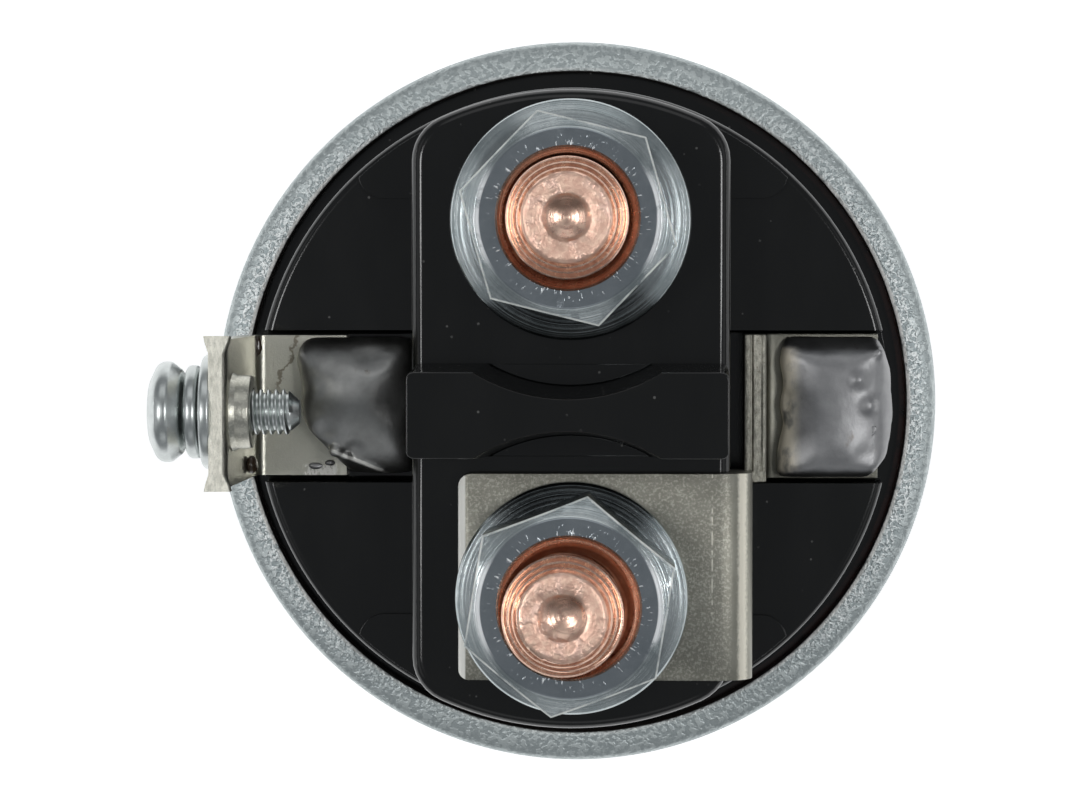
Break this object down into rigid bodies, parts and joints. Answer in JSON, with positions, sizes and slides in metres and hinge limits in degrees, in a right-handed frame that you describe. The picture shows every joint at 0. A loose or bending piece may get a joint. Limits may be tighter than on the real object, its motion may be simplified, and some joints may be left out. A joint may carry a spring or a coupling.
{
  "type": "starter solenoid relay",
  "caption": "Round starter solenoid relay: crimped steel can, black cap, copper studs with flange nuts, trigger terminal and a plunger with a lever eye.",
  "frame": {"origin": "on the axis, at the mounting face of the steel end plate", "axes": "+Z along the axis towards the terminal studs, +X towards the motor side's soldered tab, +Y towards the battery stud"},
  "size_m": [0.0533, 0.051, 0.1105],
  "materials": {
    "housing_zinc": "zinc plated steel with a coarse blasted sparkle",
    "plate_steel": "zinc plated, turned",
    "cap_phenolic": "glossy black moulded phenolic",
    "stud_copper": "bare pinkish copper, machined ends",
    "nut_zinc": "bright zinc plating",
    "tinned_brass": "tinned strip, warm grey",
    "solder": "satin solder",
    "screw_zinc": "bright zinc plating",
    "core_iron": "machined soft iron",
    "plunger_steel": "ground and plated steel",
    "sleeve_brass": "drawn brass",
    "bobbin_nylon": "natural nylon",
    "winding_copper": "enamelled copper wire",
    "wrap_paper": "insulating paper tape",
    "rubber": "black nitrile rubber",
    "spring_steel": "spring wire",
    "insulator": "red-brown phenolic paper",
    "contact_copper": "copper",
    "rod_steel": "turned steel"
  },
  "bodies": {
    "frame": {"housing_can": "housing_zinc", "mounting_plate": "plate_steel", "coil_cushion": "rubber", "coil_bobbin": "bobbin_nylon", "guide_sleeve": "sleeve_brass", "pull_in_winding": "winding_copper", "hold_in_winding": "winding_copper", "winding_wrap": "wrap_paper", "motor_lead": "winding_copper", "trigger_lead": "winding_copper", "fixed_core": "core_iron", "cap_gasket": "rubber", "terminal_cap": "cap_phenolic", "battery_stud": "stud_copper", "motor_stud": "stud_copper", "stud_seals": "rubber", "battery_nut": "nut_zinc", "motor_nut": "nut_zinc", "bus_plate": "tinned_brass", "motor_solder": "solder", "trigger_bracket": "tinned_brass", "trigger_solder": "solder", "trigger_screw": "screw_zinc", "spring_washer": "screw_zinc", "plain_washer": "screw_zinc"},
    "plunger_set": {"plunger": "plunger_steel", "lever_eye": "rod_steel", "plunger_spring": "spring_steel"},
    "rod_set": {"contact_rod": "rod_steel", "retaining_clip": "spring_steel", "return_spring": "spring_steel"},
    "contact_set": {"contact_disc": "contact_copper", "lower_insulator": "insulator", "upper_insulator": "insulator", "pressure_spring": "spring_steel"}
  },
  "joints": [
    {"name": "plunger_slide", "type": "slide", "parent": "frame", "child": "plunger_set", "axis": [0, 0, 1], "range_m": [0, 0.0105], "stiffness_N_per_m": 1200, "springref_m": -0.006, "deforming": ["plunger_spring"]},
    {"name": "contact_rod_slide", "type": "slide", "parent": "frame", "child": "rod_set", "axis": [0, 0, 1], "range_m": [0, 0.0035], "deforming": ["return_spring"]},
    {"name": "contact_disc_slide", "type": "slide", "parent": "rod_set", "child": "contact_set", "axis": [0, 0, 1], "range_m": [-0.0008, 0], "deforming": ["pressure_spring"]}
  ],
  "couplings": [
    {"joint": "contact_rod_slide", "follows": "plunger_slide", "ratio": 0.33333},
    {"joint": "contact_disc_slide", "follows": "plunger_slide", "ratio": -0.07619}
  ]
}
